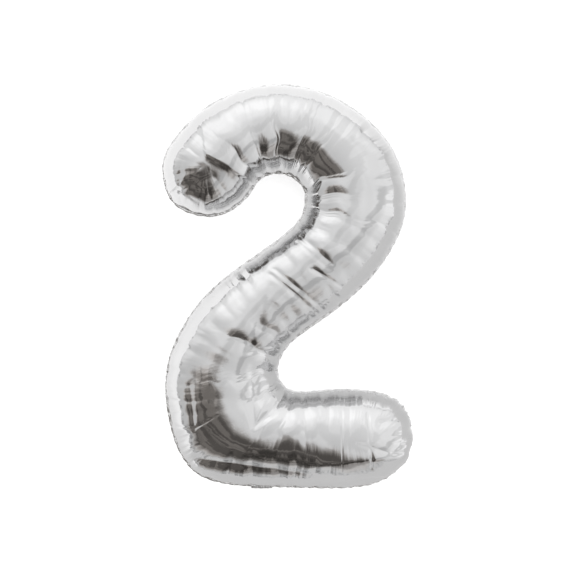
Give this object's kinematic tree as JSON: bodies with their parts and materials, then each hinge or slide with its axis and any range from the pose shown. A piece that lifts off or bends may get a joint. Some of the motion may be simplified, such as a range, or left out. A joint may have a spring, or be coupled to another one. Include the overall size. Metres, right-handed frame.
{
  "type": "foil number balloon",
  "caption": "Filled foil balloon shaped as a numeral, lying on its back: welded front and rear film panels, an inner self-closing valve and a folding filling neck.",
  "frame": {"origin": "on the table, under the middle of the digit's bounding box", "axes": "+X to the digit's right, +Y to its top, +Z out of its front; it lies on its back with its front facing up"},
  "size_m": [0.5332, 0.8603, 0.1881],
  "materials": {
    "silver_foil": "mirror-bright metallised plastic film, crimped along the seam",
    "valve_film": "clear, slightly milky plastic film"
  },
  "bodies": {
    "envelope": {"front_foil": "silver_foil", "rear_foil": "silver_foil", "valve_film_front": "valve_film", "valve_film_rear": "valve_film"},
    "neck": {"neck_foil_front": "silver_foil", "neck_foil_rear": "silver_foil", "valve_tail_front": "valve_film", "valve_tail_rear": "valve_film"}
  },
  "joints": [
    {"name": "neck_fold", "type": "hinge", "parent": "envelope", "child": "neck", "pos_m": [-0.055, -0.4293, 0.0905], "axis": [-1, 0, 0], "range_deg": [-15, 165]}
  ]
}
